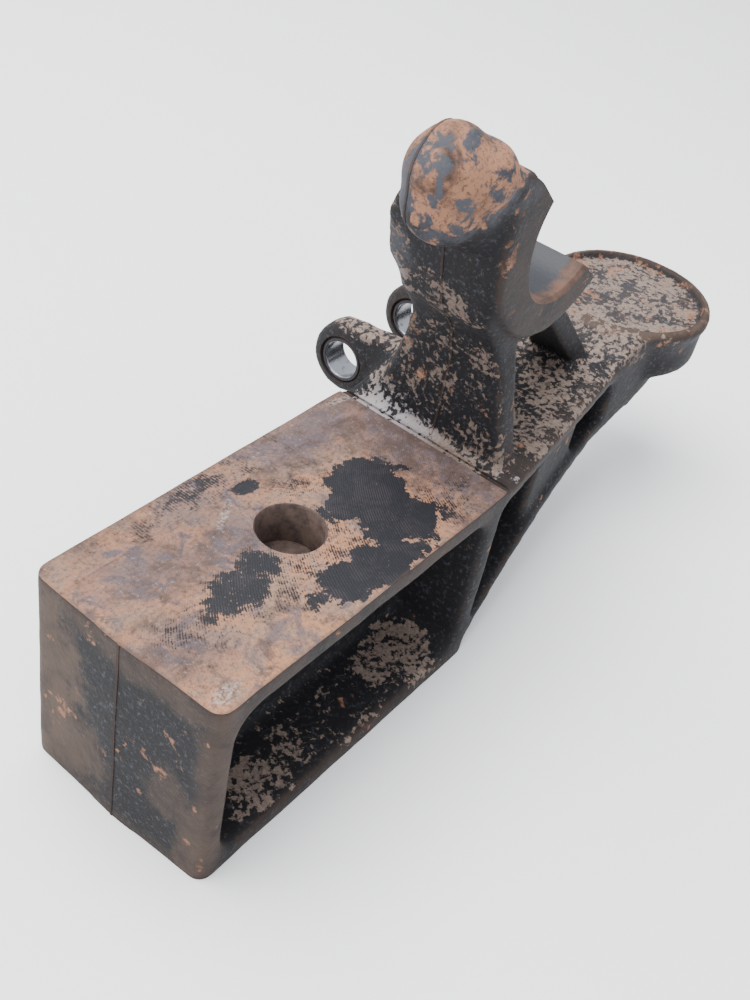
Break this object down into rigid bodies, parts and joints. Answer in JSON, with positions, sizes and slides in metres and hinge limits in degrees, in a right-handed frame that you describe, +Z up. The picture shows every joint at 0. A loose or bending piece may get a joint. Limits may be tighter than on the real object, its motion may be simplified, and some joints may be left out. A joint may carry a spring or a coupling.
{
  "type": "cast axle-seat bracket",
  "caption": "Cast iron suspension bracket: pocketed block with a machined seat and locating hole, open tube saddle on a post, side pin ears, tapering arm to a round rimmed pad.",
  "frame": {"origin": "centre of the locating hole's mouth, in the machined seat face", "axes": "+X along the arm from the block to the round pad, +Y towards the pin ears, +Z up, out of the seat face"},
  "size_m": [0.4355, 0.137, 0.271],
  "materials": {
    "machined_seat": "milled face under a thin rust film, with patches of dark paint",
    "rusted_iron": "rough casting, rusty, with some dark paint left",
    "painted_iron": "rough casting in worn black paint, chipped to a pinkish beige",
    "bush_steel": "bright bore"
  },
  "bodies": {
    "root": {"seat_plate": "machined_seat", "block_web": "painted_iron", "front_wall": "rusted_iron", "rear_wall": "painted_iron", "base_plate": "painted_iron", "arm_top_flange": "painted_iron", "arm_web": "painted_iron", "arm_bottom_flange": "painted_iron", "arm_rib_right": "painted_iron", "arm_rib_left": "painted_iron", "ear_rib": "painted_iron", "arm_neck": "painted_iron", "round_pad": "painted_iron", "saddle_post": "painted_iron", "tube_saddle": "painted_iron", "saddle_boss": "rusted_iron", "saddle_strut": "painted_iron", "front_ear": "painted_iron", "rear_ear": "painted_iron", "front_ear_bush": "bush_steel", "rear_ear_bush": "bush_steel"}
  },
  "joints": []
}
